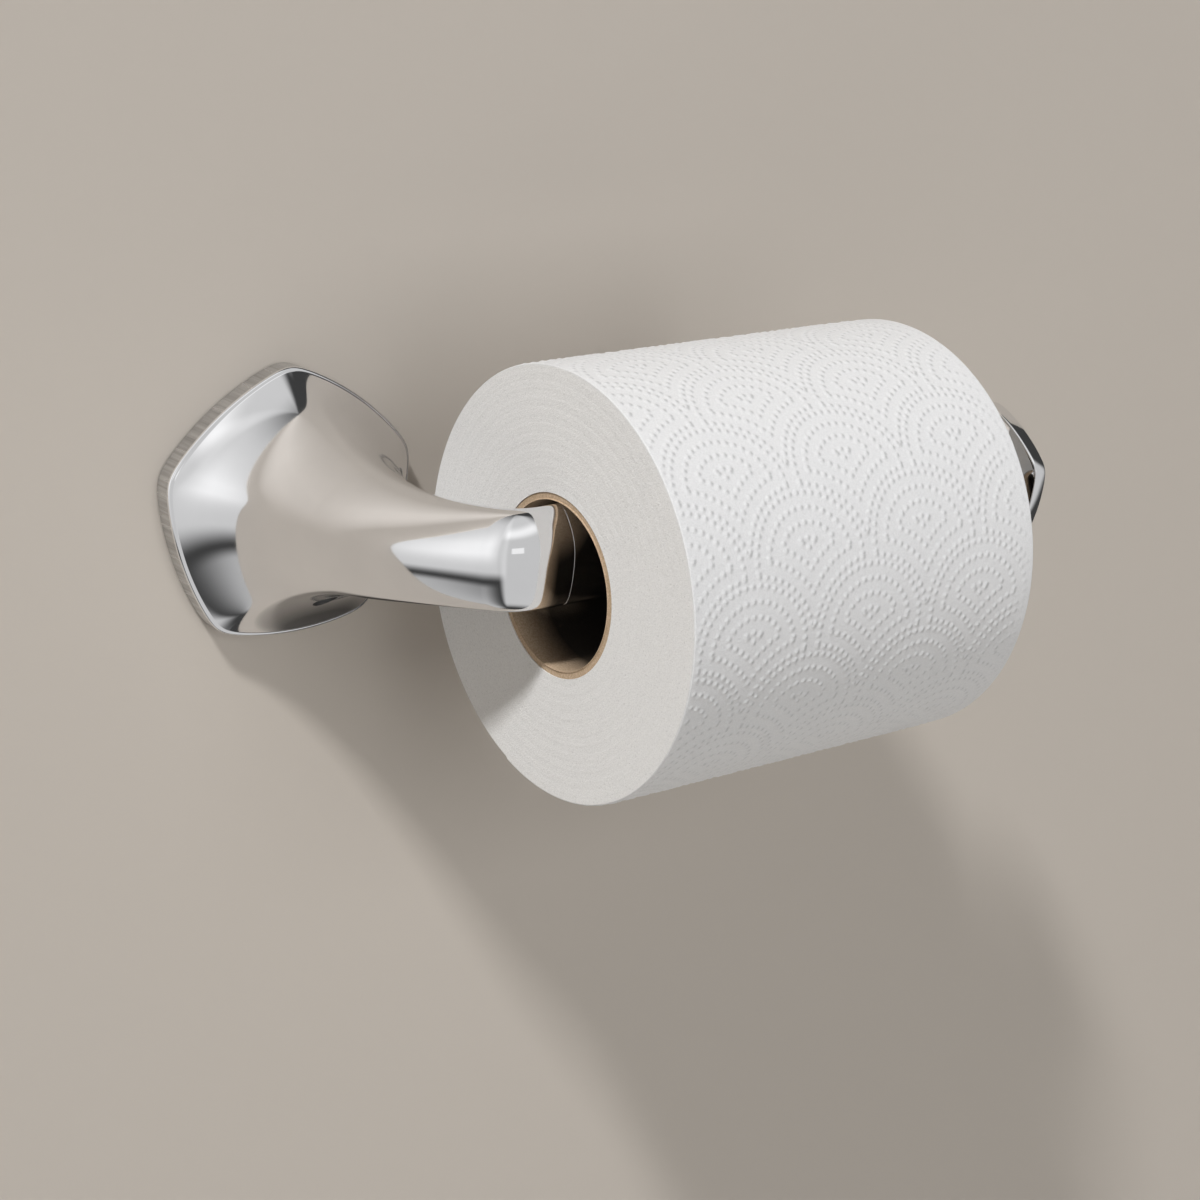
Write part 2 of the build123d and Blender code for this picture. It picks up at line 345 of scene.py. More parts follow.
# %% [markdown]
# The tissue is embossed with overlapping scales, and each scale is filled with nested rings of small
# raised dots. A bump in the finish would be lighter, but it would leave the outline of the roll smooth,
# so the relief is real geometry: a scale is a disc less the two discs below it, a ring is a line at one
# distance from the scale's edge, and the dots stand at equal steps along the ring. Beside each dot a
# painted shade is kept as an attribute for the finish: a dark mark to one side, where the dot's shadow falls.

# %% Emboss pattern
roll_radius, roll_round = 51.0, 0.35
roll_left, sheet_width = 24.2, 101.6
core_outer, core_wall, hang_gap = 21.45, 1.85, 0.3
arm_top = arm_z + arm_apothem * outline_radius(np.array(np.pi / 2), soft_sharpness)
axis_z = float(arm_top) + hang_gap - (core_outer - core_wall)
scale_pitch, scale_radius, row_pitch = 34.0, 16.0, 18.5
first_row, first_column = 32.4, 74.5
ring_start, ring_pitch, ring_count = 0.95, 3.4, 4
dot_pitch, dot_size, dot_height = 2.05, 0.6, 0.2
ring_slack, middle_slack = 0.3 * dot_pitch, 0.1
# painted shade beside each dot: a dark mark shifted to one side, where the dot's shadow falls
dot_shade_shift, dot_shade_size = 0.5, 0.48


def nearest_scale(around, along):
    """Place in the lowest scale that covers a point: distance across its middle line, side, above."""
    around = around - first_row
    along = along - first_column
    lowest = np.ceil((around - scale_radius) / row_pitch)
    across, above = np.zeros((2, *around.shape))
    for step in (3, 2, 1, 0):
        row = lowest + step
        turns = along / scale_pitch - 0.5 * (row % 2)
        dx = ((turns + 0.5) % 1 - 0.5) * scale_pitch
        ds = around - row * row_pitch
        covers = np.hypot(dx, ds) < scale_radius
        across = np.where(covers, dx, across)
        above = np.where(covers, ds, above)
    return np.abs(across), np.sign(across), above


def ring_dots(across, flip, above, centre, other, side):
    """Domes exp(-(off / size) ** 3) at equal steps on arcs at radius + side * ring distance, and painted
    shade beside them.
    """
    dx, ds = across - centre[0], above - centre[1]
    inside = side * (np.hypot(dx, ds) - scale_radius)
    ring = np.clip(np.round((inside - ring_start) / ring_pitch), 0, ring_count - 1)
    distance = ring_start + ring * ring_pitch
    radius = scale_radius + side * distance
    start = -np.arcsin(np.clip(centre[0] / radius, 0, 1))
    step = dot_pitch / radius
    angle = start + np.round((np.arctan2(dx, ds) - start) / step) * step
    dot_x, dot_s = radius * np.sin(angle), radius * np.cos(angle)
    other_edge = np.hypot(dot_x + centre[0] - other[0], dot_s + centre[1] - other[1]) - scale_radius
    on_ring = (-side * other_edge > distance - ring_slack) & (dot_x + centre[0] > -middle_slack)
    off_x, off_s = dx - dot_x, ds - dot_s
    dome = np.exp(-((np.hypot(off_x, off_s) / dot_size) ** 3))
    painted_dot_shade = np.exp(-((np.hypot(off_x - flip * dot_shade_shift, off_s) / dot_shade_size) ** 3))
    return on_ring * np.stack([dome, painted_dot_shade])


def emboss(around, along):
    """Relief and painted shade beside the dots, 0 to 1: dots on the rings of a scale's own disc and of the
    disc below it.
    """
    place = nearest_scale(around, along)
    own, below = (0.0, 0.0), (scale_pitch / 2, -row_pitch)
    return np.maximum(ring_dots(*place, own, below, -1), ring_dots(*place, below, own, 1))


print("emboss repeats every", scale_pitch, "mm along and", 2 * row_pitch, "mm around")

# %% [markdown]
# The outer turn is wound on, so its radius falls by one sheet from the loose tail to where the tail
# covers it again. It is made as three sheets, as they tear off, which keeps each mesh a handy size.
# The first row of the first sheet drops to the turn below and makes the tail's edge.

# %% Embossed sheets
tail_turn = np.radians(-110.0)
sheet_turn = np.radians(120.0)
tail_step = 0.35
worn_left, worn_right = 1.5, 7.0


def turn_radius(turn):
    """Radius of the outer turn: the roll's radius less one sheet per full turn after the tail."""
    return roll_radius - dot_height - tail_step * (turn - tail_turn) / (2 * np.pi)


def sheet_grid(start, around_steps=312, along_steps=300):
    """Part of the outer turn: radius plus relief, with edges rounded into the roll's ends; painted dot shade.
    """
    turn = start + sheet_turn * np.linspace(0, 1, around_steps + 1)
    edge = roll_round * (1 - np.sin(quarter))[::-1]
    middle = np.linspace(roll_round, sheet_width - roll_round, along_steps + 1)[1:-1]
    along = np.concatenate([edge, middle, sheet_width - edge[::-1]])
    drop = roll_round * (1 - np.cos(quarter))[::-1]
    drop = np.concatenate([drop, np.zeros(along_steps - 1), drop[::-1]])
    turn, along = np.meshgrid(turn, along, indexing="ij")
    worn = np.clip(along / worn_left, 0, 1) * np.clip((sheet_width - along) / worn_right, 0, 1)
    dome, painted_dot_shade = emboss(turn * roll_radius, along + roll_left) * worn
    radius = turn_radius(turn) - drop + dot_height * dome
    if start == tail_turn:
        edge_row = [turn[0], along[0], radius[0] - 2 * tail_step, painted_dot_shade[0]]
        rows = np.stack([turn, along, radius, painted_dot_shade])
        turn, along, radius, painted_dot_shade = np.concatenate([np.stack(edge_row)[:, None], rows], axis=1)
    y = arm_y - radius * np.cos(turn)
    return np.stack([roll_left + along, y, axis_z + radius * np.sin(turn)], axis=-1), painted_dot_shade


sheets = []
for number in range(3):
    grid, painted_dot_shade = sheet_grid(tail_turn + number * sheet_turn)
    sheet = make_skin(f"tissue_sheet_{number + 1}", grid, closed=False, outward=False)
    # the painted shade beside the dots is kept as a point attribute of the sheet
    dot_shade_layer = sheet.data.attributes.new("painted_dot_shade", "FLOAT", "POINT")
    dot_shade_layer.data.foreach_set("value", painted_dot_shade.astype(np.float32).ravel())
    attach(sheet, "paper")
    sheets.append(sheet)
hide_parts("paper")

# %% [markdown]
# The ends of the roll show the edges of all its turns. They are not quite flat: some turns stand a
# little proud of others. Rings with small, smooth steps give that, from a sum of a few sine waves
# over the radius, and the material adds the fibres.

# %% Roll ends
core_fit = 0.05
paper_bore = core_outer + core_fit
calm_edge = 12
ripples = ((0.012, 2.1, 0), (0.008, 5.3, 1), (0.006, 11.7, 2))


def end_grid(x, side, rings=120, columns=360):
    """Ring between the core and the sheet's edge, rippled by a sum of height * sin(rate * radius + shift)."""
    share = np.linspace(0, 1, rings)[:, None]
    turn = tail_turn + np.linspace(0, 2 * np.pi, columns, endpoint=False)[None]
    radius = paper_bore + (turn_radius(turn) - roll_round - paper_bore) * share
    ripple = sum(height * np.sin(rate * radius + shift) for height, rate, shift in ripples)
    x = x - side * ripple * np.clip(calm_edge * (1 - share), 0, 1)
    return np.stack([x, arm_y - radius * np.cos(turn), axis_z + radius * np.sin(turn)], axis=-1)


def bore_grid(columns=360):
    """Inside of the paper, against the core."""
    turn = tail_turn + np.linspace(0, 2 * np.pi, columns, endpoint=False)
    x, turn = np.meshgrid(roll_left + sheet_width * np.linspace(0, 1, 4), turn, indexing="ij")
    return np.stack([x, arm_y - paper_bore * np.cos(turn), axis_z + paper_bore * np.sin(turn)], axis=-1)


left_end = end_grid(roll_left, 1)
right_end = end_grid(roll_left + sheet_width, -1)
end_rows = np.concatenate([left_end[::-1], bore_grid()[1:-1], right_end])
roll_ends = make_skin("roll_ends", end_rows, outward=False)
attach(roll_ends, "paper")

# %% [markdown]
# The core is a tube of wound cardboard. A plain tube would do, but its sharp edges would catch no light.
# So its profile is a thin rectangle with softened corners, turned round the axis of the roll.

# %% Core
core_inner = core_outer - core_wall
core_soft = 0.25


def core_grid(columns=240):
    """Closed profile of the tube's wall, turned once round the axis."""
    left, right = 0, sheet_width
    corners = (
        (left, core_inner, 180), (left, core_outer, 90),
        (right, core_outer, 0), (right, core_inner, -90),
    )
    profile = []
    for x, radius, heading in corners:
        turn = np.radians(heading - np.linspace(0, 90, 5))
        inner_x = x + (core_soft if x == left else -core_soft)
        inner_r = radius + (core_soft if radius == core_inner else -core_soft)
        around_corner = [inner_x + core_soft * np.cos(turn), inner_r + core_soft * np.sin(turn)]
        profile.append(np.stack(around_corner, axis=-1))
    profile = np.concatenate(profile)
    turn = np.linspace(0, 2 * np.pi, columns, endpoint=False)[:, None]
    x = np.broadcast_to(roll_left + profile[:, 0], (columns, len(profile)))
    radius = profile[:, 1]
    return np.stack([x, arm_y - radius * np.cos(turn), axis_z + radius * np.sin(turn)], axis=-1)


core_rows = core_grid()
core_skin = make_skin("core_skin", np.concatenate([core_rows, core_rows[:1]]))
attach(core_skin, "core")
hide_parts("core")

# %% [markdown]
# Finishes. A finish could be one flat colour, but real materials vary: chrome has faint wipe marks,
# tissue has fibres, cardboard has flecks. So each finish starts from the standard surface shader and
# gets noise over the object's own coordinates, which stays on the piece when it moves.

# %% Finish helpers
ramp_low, ramp_high = 0.35, 0.65


def new_finish(name, color, metallic, roughness):
    """Material with its constant values on the shader's own sockets."""
    finish = bpy.data.materials.new(name)
    finish.use_nodes = True
    shader = finish.node_tree.nodes["Principled BSDF"]
    shader.inputs["Base Color"].default_value = (*color, 1)
    shader.inputs["Metallic"].default_value = metallic
    shader.inputs["Roughness"].default_value = roughness
    return finish, finish.node_tree.nodes, finish.node_tree.links, shader


def wear(*skins, finish):
    """Puts one finish on some objects."""
    for skin in skins:
        skin.data.materials.clear()
        skin.data.materials.append(finish)


def noise(nodes, links, scale, detail=4.0, stretch=(1, 1, 1)):
    """Noise over the object's own coordinates, in cycles per metre."""
    place = nodes.new("ShaderNodeTexCoord")
    mapping = nodes.new("ShaderNodeMapping")
    mapping.inputs["Scale"].default_value = stretch
    texture = nodes.new("ShaderNodeTexNoise")
    texture.inputs["Scale"].default_value = scale
    texture.inputs["Detail"].default_value = detail
    links.new(place.outputs["Object"], mapping.inputs["Vector"])
    links.new(mapping.outputs["Vector"], texture.inputs["Vector"])
    return texture.outputs["Fac"]


def tint(nodes, links, value, dark, light):
    """Colour between two shades."""
    ramp = nodes.new("ShaderNodeValToRGB")
    low, high = ramp.color_ramp.elements
    low.position, high.position = ramp_low, ramp_high
    low.color, high.color = (*dark, 1), (*light, 1)
    links.new(value, ramp.inputs["Fac"])
    return ramp.outputs["Color"]


def bump(nodes, links, shader, value, distance, strength=1.0):
    """Small relief from a value, with its depth in metres."""
    node = nodes.new("ShaderNodeBump")
    node.inputs["Strength"].default_value = strength
    node.inputs["Distance"].default_value = distance
    links.new(value, node.inputs["Height"])
    links.new(node.outputs["Normal"], shader.inputs["Normal"])


print("a finish mixes its two shades where the noise is between", ramp_low, "and", ramp_high)

# %% [markdown]
# Some finishes also need arithmetic: a value moved to another range, two values combined, or a colour
# made darker. Each could be a few nodes set up by hand. Three small helpers keep it to one line.


# %% Arithmetic for finishes
def spread(nodes, links, value, low, high, start=0.3, stop=0.7, smooth=False):
    """Maps start..stop to low..high in a straight line or, if smooth, by 3 s^2 - 2 s^3."""
    node = nodes.new("ShaderNodeMapRange")
    node.interpolation_type = "SMOOTHSTEP" if smooth else "LINEAR"
    for socket, number in (("From Min", start), ("From Max", stop), ("To Min", low), ("To Max", high)):
        node.inputs[socket].default_value = number
    links.new(value, node.inputs["Value"])
    return node.outputs["Result"]


def calc(nodes, links, operation, *values):
    """Math node; each value is a number or the output of another node."""
    node = nodes.new("ShaderNodeMath")
    node.operation = operation
    for socket, value in zip(node.inputs, values):
        if isinstance(value, (int, float)):
            socket.default_value = value
        else:
            links.new(value, socket)
    return node.outputs["Value"]


def darken(nodes, links, color, value):
    """Colour times a value."""
    node = nodes.new("ShaderNodeMix")
    node.data_type, node.blend_type = "RGBA", "MULTIPLY"
    node.inputs["Factor"].default_value = 1.0
    links.new(color, node.inputs["A"])
    links.new(value, node.inputs["B"])
    return node.outputs["Result"]


print("helpers:", [helper.__name__ for helper in (spread, calc, darken)])

# %% [markdown]
# Polished chrome could be a perfect mirror, but then it would look drawn. A trace of roughness that
# changes over the surface makes it metal. The base rim is brushed straight out from the wall, so its
# noise is drawn out along that axis.

# %% Chrome and brushed rim
chrome, nodes, links, shader = new_finish("polished_chrome", (0.88, 0.88, 0.89), 1.0, 0.06)
wipe = noise(nodes, links, 60, 6)
links.new(spread(nodes, links, wipe, 0.05, 0.08), shader.inputs["Roughness"])
links.new(tint(nodes, links, wipe, (0.86, 0.86, 0.87), (0.90, 0.90, 0.91)), shader.inputs["Base Color"])
wear(arm_skin, post_skin, finish=chrome)

brushed, nodes, links, shader = new_finish("brushed_rim", (0.7, 0.7, 0.7), 1.0, 0.15)
stroke = noise(nodes, links, 900, 3, (1, 0.03, 1))
links.new(spread(nodes, links, stroke, 0.12, 0.3), shader.inputs["Roughness"])
links.new(tint(nodes, links, stroke, (0.44, 0.44, 0.44), (0.68, 0.68, 0.68)), shader.inputs["Base Color"])
print("chrome on", arm_skin.name, "and", post_skin.name)

# %% [markdown]
# The post shows four finishes: its hollow back is the bare casting, and the set screw hole is painted
# near black, as shade deep in the hole. The faces could be picked by hand. Sorting them by where they
# are and which way they face gives the same faces, and still does after a size has changed.

# %% Finishes of the post
casting_relief = 0.0001
hole_slack, depth_slack, facing_back = 0.02, 0.1, 0.5
rim_slot, bare_slot, bore_slot = 1, 2, 3

bare, nodes, links, shader = new_finish("bare_casting", (0.36, 0.36, 0.37), 0.8, 0.6)
sand = noise(nodes, links, 1800, 4)
links.new(tint(nodes, links, sand, (0.3, 0.3, 0.31), (0.42, 0.42, 0.43)), shader.inputs["Base Color"])
bump(nodes, links, shader, sand, casting_relief)

# painted shade: the bore is near black, standing in for the shade deep in the hole
bore_shade_finish, nodes, links, shader = new_finish("bore_painted_shade", (0.05, 0.05, 0.05), 0.3, 0.5)
thread = noise(nodes, links, 1200, 3, (0.1, 0.1, 1))
links.new(tint(nodes, links, thread, (0.03, 0.03, 0.03), (0.07, 0.07, 0.07)), shader.inputs["Base Color"])

for finish in (brushed, bare, bore_shade_finish):
    post_skin.data.materials.append(finish)
faces = post_skin.data.polygons
middles, normals = np.zeros((2, len(faces) * 3))
faces.foreach_get("center", middles)
faces.foreach_get("normal", normals)
middles, normals = middles.reshape(-1, 3) / MM, normals.reshape(-1, 3)
from_axis = np.hypot(*(middles[:, :2] - set_screw_at[:2]).T)
in_hole = (from_axis < set_screw_radius + hole_slack) & (middles[:, 2] < set_screw_at[2])
inward = np.sum(middles[:, [0, 2]] * normals[:, [0, 2]], axis=1) < 0
inside = (inward | (normals[:, 1] > facing_back)) & (middles[:, 1] > -hollow_depth - depth_slack)
on_rim = ~inside & (middles[:, 1] > rim_round - rim_depth)
slots = np.select([in_hole, inside, on_rim], [bore_slot, bare_slot, rim_slot])
faces.foreach_set("material_index", slots.astype(np.int32))
print("brushed faces:", on_rim.sum(), "bare faces:", inside.sum(), "bore faces:", in_hole.sum())

# %% [markdown]
# Tissue is matt, with fine fibres and a little sheen, and it carries painted shade beside each dot, a
# dark mark where the dot's shadow falls. The ends of the roll are cut edges, which are rougher and specked.
# Fibres could be modelled as hair, but at this distance noise in the colour and in the relief looks the same.

# %% Tissue
dot_shade_dark = 0.74
fibre_relief, edge_relief = 0.0001, 0.00012
speck_dark, speck_start, speck_stop = 0.82, 0.6, 0.74

tissue, nodes, links, shader = new_finish("embossed_tissue", (0.8, 0.8, 0.8), 0.0, 0.9)
fibre = noise(nodes, links, 2600, 5)
sheet_white = tint(nodes, links, fibre, (0.72, 0.72, 0.725), (0.78, 0.78, 0.785))
# painted shade: the tissue is darker beside each dot, read from the sheets' point attribute
dot_shade_node = nodes.new("ShaderNodeAttribute")
dot_shade_node.attribute_name = "painted_dot_shade"
dot_shade_factor = spread(nodes, links, dot_shade_node.outputs["Fac"], 1.0, dot_shade_dark, 0.0, 1.0)
links.new(darken(nodes, links, sheet_white, dot_shade_factor), shader.inputs["Base Color"])
bump(nodes, links, shader, fibre, fibre_relief)
shader.inputs["Sheen Weight"].default_value = 0.15
wear(*sheets, finish=tissue)

layers, nodes, links, shader = new_finish("tissue_edges", (0.78, 0.77, 0.76), 0.0, 0.95)
fleck = noise(nodes, links, 3200, 6)
edges = tint(nodes, links, fleck, (0.83, 0.828, 0.82), (0.91, 0.908, 0.9))
speck = spread(nodes, links, noise(nodes, links, 1900, 2), 1.0, speck_dark, speck_start, speck_stop)
links.new(darken(nodes, links, edges, speck), shader.inputs["Base Color"])
bump(nodes, links, shader, fleck, edge_relief)
wear(roll_ends, finish=layers)
print("tissue on", len(sheets), "sheets, cut edges on", roll_ends.name)

# %% [markdown]
# The core is raw cardboard with flecks of pulp. The photograph is almost black inside the tube, darker
# than soft light from all sides leaves it. A lamp can't take light away, so shade is painted into the
# finish: it darkens from both ends towards the middle.

# %% Cardboard
pulp_relief = 0.0001
inside_shade_level, inside_shade_start, inside_shade_stop = 0.03, 0.0405, 0.0505
core_middle = (roll_left + sheet_width / 2) * MM

cardboard, nodes, links, shader = new_finish("cardboard", (0.56, 0.42, 0.29), 0.0, 0.9)
pulp = noise(nodes, links, 2400, 8)
board = tint(nodes, links, pulp, (0.48, 0.35, 0.23), (0.64, 0.49, 0.35))
core_place = nodes.new("ShaderNodeSeparateXYZ")
links.new(nodes.new("ShaderNodeTexCoord").outputs["Object"], core_place.inputs["Vector"])
# painted shade: the inside of the tube gets darker away from its ends
along_core = calc(nodes, links, "SUBTRACT", core_place.outputs["X"], core_middle)
from_middle = calc(nodes, links, "ABSOLUTE", along_core)
painted_inside_shade = spread(nodes, links, from_middle, inside_shade_level, 1.0, inside_shade_start, inside_shade_stop)
links.new(darken(nodes, links, board, painted_inside_shade), shader.inputs["Base Color"])
bump(nodes, links, shader, pulp, pulp_relief)
wear(core_skin, finish=cardboard)
print("cardboard on", core_skin.name)

# %% [markdown]
# The hardware keeps the shapes of its solids and only gets finishes: plated steel for the pins and the
# screws, cast zinc for the plate, nylon for the plugs. New skins for them would show nothing more.

# %% Hardware
plate_relief, plug_relief = 0.0001, 0.00005

steel, nodes, links, shader = new_finish("plated_steel", (0.6, 0.6, 0.6), 1.0, 0.35)
grain = noise(nodes, links, 500, 5)
links.new(spread(nodes, links, grain, 0.28, 0.45), shader.inputs["Roughness"])
links.new(tint(nodes, links, grain, (0.5, 0.5, 0.49), (0.64, 0.63, 0.6)), shader.inputs["Base Color"])
pins = [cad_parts[node] for node in ("arm_stud", "arm_dowel", "wall_screws", "set_screw")]
wear(*pins, finish=steel)

cast_zinc, nodes, links, shader = new_finish("cast_zinc", (0.45, 0.45, 0.45), 0.9, 0.55)
cast_grain = noise(nodes, links, 900, 6)
links.new(spread(nodes, links, cast_grain, 0.45, 0.65), shader.inputs["Roughness"])
links.new(tint(nodes, links, cast_grain, (0.38, 0.38, 0.39), (0.52, 0.52, 0.53)), shader.inputs["Base Color"])
bump(nodes, links, shader, cast_grain, plate_relief)
wear(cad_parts["wall_plate"], finish=cast_zinc)

nylon, nodes, links, shader = new_finish("moulded_nylon", (0.55, 0.55, 0.52), 0.0, 0.5)
mould = noise(nodes, links, 400, 4)
links.new(tint(nodes, links, mould, (0.5, 0.5, 0.47), (0.6, 0.6, 0.57)), shader.inputs["Base Color"])
bump(nodes, links, shader, mould, plug_relief)
wear(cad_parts["wall_anchors"], finish=nylon)
print("finishes:", sorted(m.name for m in bpy.data.materials if m.users))

# %% [markdown]
# The stage. The holder hangs on a wall, so a plain pale wall stands behind it and runs down to a plain
# floor. One plane would do for the wall, but it would hide the back of the base. So the wall is a ring
# of faces from its square border to a hole that the base covers.

# %% Wall and floor
wall_gap = 0.3
stage_half = 1500.0
floor_drop = 900.0
rim_cover = 0.6
hole = sections(0.0, wall_gap, 0.0, 0.0, base_apothem - rim_cover)[0]
reach = stage_half / np.maximum(np.abs(np.cos(turn_of)), np.abs(np.sin(turn_of)))
border_z = np.maximum(reach * np.sin(turn_of), -floor_drop)
border = np.stack([reach * np.cos(turn_of), np.full(outline_points, wall_gap), border_z], axis=-1)
wall = make_skin("wall", np.stack([border, hole]), outward=False)
floor_x = np.array([-1, 1, 1, -1]) * stage_half
floor_y = np.array([-2, -2, 2, 2]) * stage_half
floor_corners = np.stack([floor_x, floor_y, np.full(4, -floor_drop)], axis=-1)
floor = make_skin("floor", floor_corners[[[0, 1], [3, 2]]], closed=False, outward=False)
floor.visible_glossy = False
pale, nodes, links, shader = new_finish("pale_floor", (0.6, 0.58, 0.55), 0.0, 0.9)
wear(floor, finish=pale)

# %% [markdown]
# The plaster is clear from behind, for views of the back. Half of what the chrome shows is this wall,
# which in the photograph is brighter at the upper left of the base and dark just under it. More lamps
# and a darker shadow would change the whole picture, so a painted glow and a painted shade are put on
# the plaster there, and only mirrors see them.

# %% Plaster
glow_rise, glow_fall, glow_up = (-0.13, -0.06), (-0.04, 0.01), (-0.01, 0.1)
glow_level = 0.28
dark_x, dark_z = 0.024, -0.056
dark_share, dark_near, dark_far = 0.85, 0.012, 0.03

plaster, nodes, links, shader = new_finish("pale_plaster", (0.575, 0.525, 0.47), 0.0, 0.85)
facing = nodes.new("ShaderNodeNewGeometry")
clear = nodes.new("ShaderNodeBsdfTransparent")
choose = nodes.new("ShaderNodeMixShader")
links.new(facing.outputs["Backfacing"], choose.inputs["Fac"])
links.new(shader.outputs["BSDF"], choose.inputs[1])
links.new(clear.outputs["BSDF"], choose.inputs[2])
links.new(choose.outputs["Shader"], nodes["Material Output"].inputs["Surface"])

in_mirror = nodes.new("ShaderNodeLightPath").outputs["Is Glossy Ray"]
wall_place = nodes.new("ShaderNodeSeparateXYZ")
links.new(nodes.new("ShaderNodeTexCoord").outputs["Object"], wall_place.inputs["Vector"])
wall_x, wall_z = wall_place.outputs["X"], wall_place.outputs["Z"]
# painted light: a glow on the plaster at the upper left of the base, seen only in mirrors
rise = spread(nodes, links, wall_x, 0.0, 1.0, *glow_rise)
fall = spread(nodes, links, wall_x, 1.0, 0.0, *glow_fall)
upward = spread(nodes, links, wall_z, 0.0, glow_level, *glow_up)
painted_mirror_glow = calc(nodes, links, "MULTIPLY", calc(nodes, links, "MULTIPLY", rise, fall), upward)
shader.inputs["Emission Color"].default_value = (0.9, 0.87, 0.84, 1)
links.new(calc(nodes, links, "MULTIPLY", painted_mirror_glow, in_mirror), shader.inputs["Emission Strength"])

# painted shade: the plaster darker just under the base, seen only in mirrors
aside = calc(nodes, links, "SUBTRACT", wall_x, dark_x)
below = calc(nodes, links, "SUBTRACT", wall_z, dark_z)
squares = [calc(nodes, links, "MULTIPLY", part, part) for part in (aside, below)]
away = calc(nodes, links, "SQRT", calc(nodes, links, "ADD", *squares))
painted_mirror_shade = spread(nodes, links, away, dark_share, 0.0, dark_near, dark_far)
lost = calc(nodes, links, "MULTIPLY", painted_mirror_shade, in_mirror)
paint = nodes.new("ShaderNodeRGB").outputs["Color"]
paint.default_value = shader.inputs["Base Color"].default_value
left_over = calc(nodes, links, "SUBTRACT", 1.0, lost)
links.new(darken(nodes, links, paint, left_over), shader.inputs["Base Color"])
wear(wall, finish=plaster)
print("mirrors see the wall darkest", round(-dark_z / MM), "mm under the middle of the base")

# %% [markdown]
# Light. A small lamp far off at the upper left throws the slanting shadow on the wall, and a large one
# in front fills in. Lamps close by would need less power, but they leave hot spots on the wall. Both
# are hidden from mirrors, because the chrome gets its own studio.


# %% Lamps
def stand(thing, right, up, back, place):
    """Puts an object in the scene by its three axes and its place, in metres."""
    placed = np.eye(4)
    placed[:3] = np.stack([right, up, back, place], axis=-1)
    thing.matrix_world = placed.T.tolist()
    bpy.context.scene.collection.objects.link(thing)


def soft_box(name, place, target, size, power):
    """Square lamp at a place, facing a target, in metres and watts."""
    lamp = bpy.data.lights.new(name, "AREA")
    lamp.energy, lamp.shape, lamp.size = power, "SQUARE", size
    box = bpy.data.objects.new(name, lamp)
    back = (place - target) / np.linalg.norm(place - target)
    right = np.cross((0, 0, 1), back)
    right = right / np.linalg.norm(right)
    stand(box, right, np.cross(back, right), back, place)
    box.visible_glossy = False


aim = np.array([0.05, -0.06, 0.0])
lamps = (
    ("key", 4.2, (-0.49, -0.31, 0.82), 0.38, 145),
    ("front fill", 4.0, (0.0, -0.98, 0.2), 3.0, 66),
)
for name, distance, come_from, size, power in lamps:
    soft_box(name, aim + distance * np.array(come_from), aim, size, power)
print("lamps:", [lamp[0] for lamp in lamps])

# %% [markdown]
# Chrome has no colour of its own: it looks like the room around it. Modelled panels would do, but they
# would also light the paper. So the world is a studio that only mirrors see, made of soft patches by
# direction: a tall panel at the left, another overhead, the grey front of the room and some floor.


# %% Studio that the chrome mirrors
def gate(nodes, links, angle, *degrees):
    """1 between two angles and 0 outside: a smooth rise from a to b times a smooth fall from c to d."""
    a, b, c, d = np.radians(degrees)
    up = spread(nodes, links, angle, 0.0, 1.0, a, b, smooth=True)
    return calc(nodes, links, "MULTIPLY", up, spread(nodes, links, angle, 1.0, 0.0, c, d, smooth=True))


# Each patch has a name, a strength, and degrees to the left of the front and above the horizon.
patches = (
    ("panel", 0.6, (34, 52, 135, 165), (-38, -28, 62, 96)),
    ("panel middle", 0.36, (42, 66, 66, 110), (-30, 10, 30, 70)),
    ("panel overhead", 0.6, (-40, -10, 36, 56), (38, 55, 75, 100)),
    ("front of the room", 0.55, (-60, -48, 38, 50), (-85, -62, 45, 65)),
    ("small bright square", 0.35, (12, 14, 30, 32), (5, 7, 20, 22)),
    ("floor at the left", 0.42, (45, 95, 120, 150), (-90, -80, -44, -38)),
)
studio = 0.05
world = bpy.data.worlds.new("studio")
world.use_nodes = True
nodes, links = world.node_tree.nodes, world.node_tree.links
direction = nodes.new("ShaderNodeSeparateXYZ")
links.new(nodes.new("ShaderNodeTexCoord").outputs["Generated"], direction.inputs["Vector"])
to_left = calc(nodes, links, "MULTIPLY", direction.outputs["X"], -1.0)
to_front = calc(nodes, links, "MULTIPLY", direction.outputs["Y"], -1.0)
leftward = calc(nodes, links, "ARCTAN2", to_left, to_front)
elevation = calc(nodes, links, "ARCSINE", direction.outputs["Z"])
for name, strength, left_degrees, up_degrees in patches:
    across = gate(nodes, links, leftward, *left_degrees)
    patch = calc(nodes, links, "MULTIPLY", across, gate(nodes, links, elevation, *up_degrees))
    studio = calc(nodes, links, "ADD", calc(nodes, links, "MULTIPLY", patch, strength), studio)
print("studio patches:", [patch[0] for patch in patches])

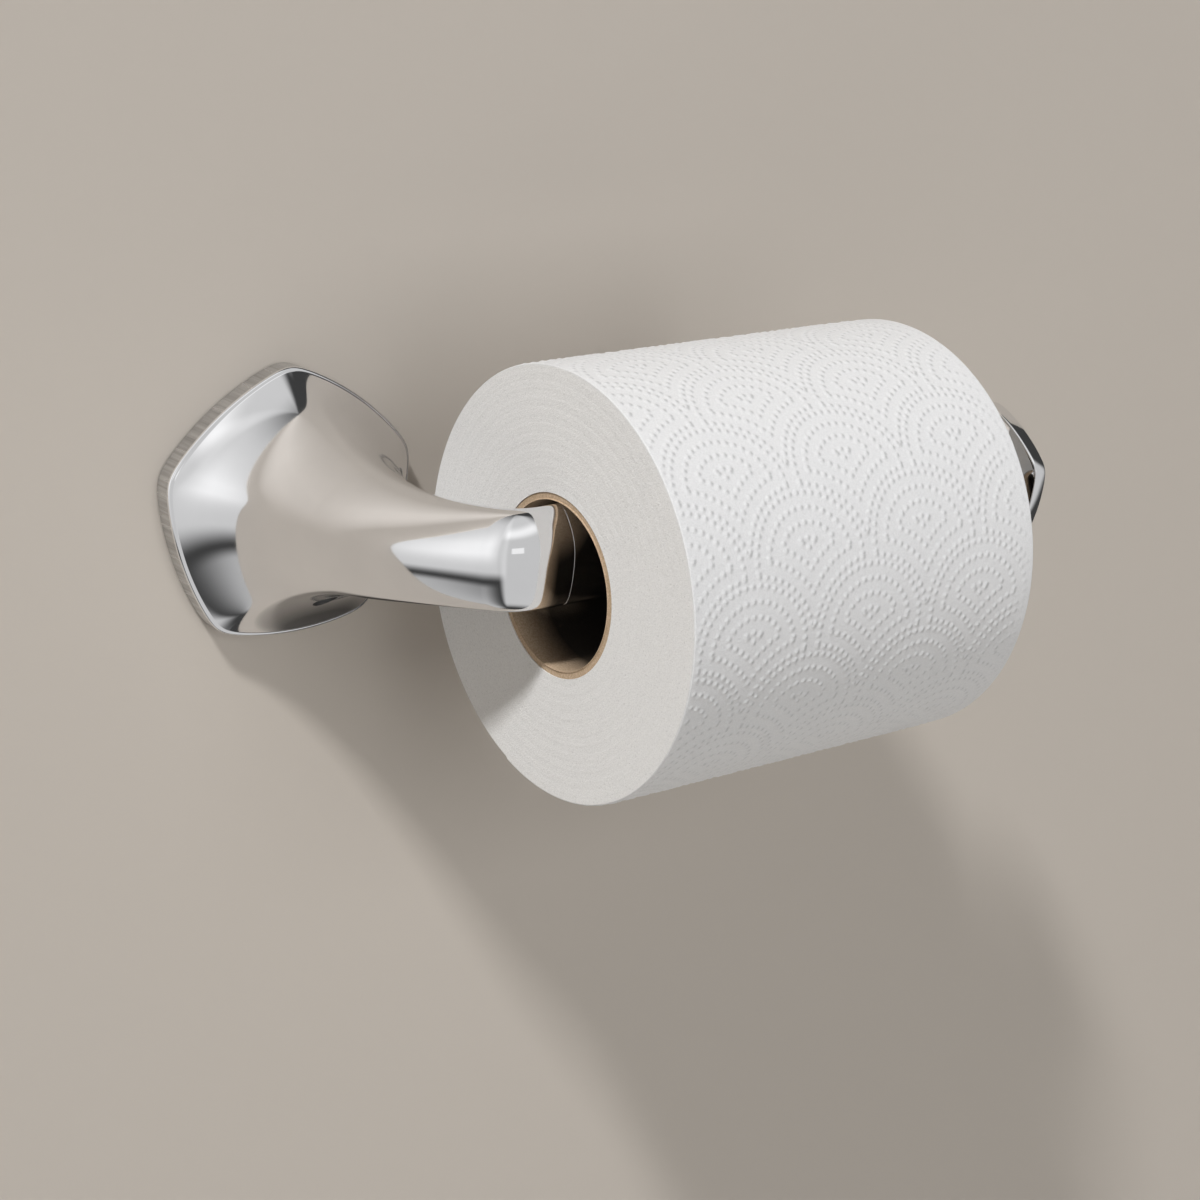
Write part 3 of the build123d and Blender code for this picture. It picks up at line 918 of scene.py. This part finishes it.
# %% [markdown]
# The same world serves all rays. The camera sees a pale backdrop past the wall, mirrors see the studio,
# and every other ray gets a faint even light. Directions behind the wall are brighter, which lights the
# back of the base and can't reach the front.

# %% World light
ambient, backdrop = 0.04, 0.8
behind_level, behind_start, behind_stop = 0.5, 0.05, 0.35
ray = nodes.new("ShaderNodeLightPath")
seen = calc(nodes, links, "MULTIPLY", ray.outputs["Is Camera Ray"], backdrop)
extra = calc(nodes, links, "SUBTRACT", studio, ambient)
mirrored = calc(nodes, links, "MULTIPLY", extra, ray.outputs["Is Glossy Ray"])
behind = spread(nodes, links, direction.outputs["Y"], 0.0, behind_level, behind_start, behind_stop)
unseen = calc(nodes, links, "SUBTRACT", 1.0, ray.outputs["Is Camera Ray"])
soft = calc(nodes, links, "MULTIPLY", calc(nodes, links, "ADD", behind, ambient), unseen)
total = calc(nodes, links, "ADD", calc(nodes, links, "ADD", seen, mirrored), soft)
links.new(total, nodes["Background"].inputs["Strength"])
nodes["Background"].inputs["Color"].default_value = (1, 1, 1, 1)
bpy.context.scene.world = world
print("even light:", ambient, "and from behind:", behind_level)

# %% [markdown]
# The camera stands where the photograph was taken: to the left of the holder, a little above it, with
# a moderately long lens. A target to look at would leave out the slight roll of the picture, so its
# heading, pitch and roll are given as angles.

# %% Camera
eye = (-0.30618, -0.53114, 0.17082)
heading, pitch, roll = np.radians((37.3141, -17.6423, 1.7355))
focal, sensor = 77.57, 36.0
ahead = np.array([np.sin(heading) * np.cos(pitch), np.cos(heading) * np.cos(pitch), np.sin(pitch)])
level = np.array([np.cos(heading), -np.sin(heading), 0.0])
upright = np.cross(level, ahead)
look_right = np.cos(roll) * level + np.sin(roll) * upright
look_up = np.cos(roll) * upright - np.sin(roll) * level
lens = bpy.data.cameras.new("photo_camera")
lens.lens, lens.sensor_width = focal, sensor
camera = bpy.data.objects.new("photo_camera", lens)
stand(camera, look_right, look_up, -ahead, eye)
bpy.context.scene.camera = camera
bpy.context.scene.view_settings.view_transform = "Standard"
print("camera at", eye, "with a", focal, "mm lens")
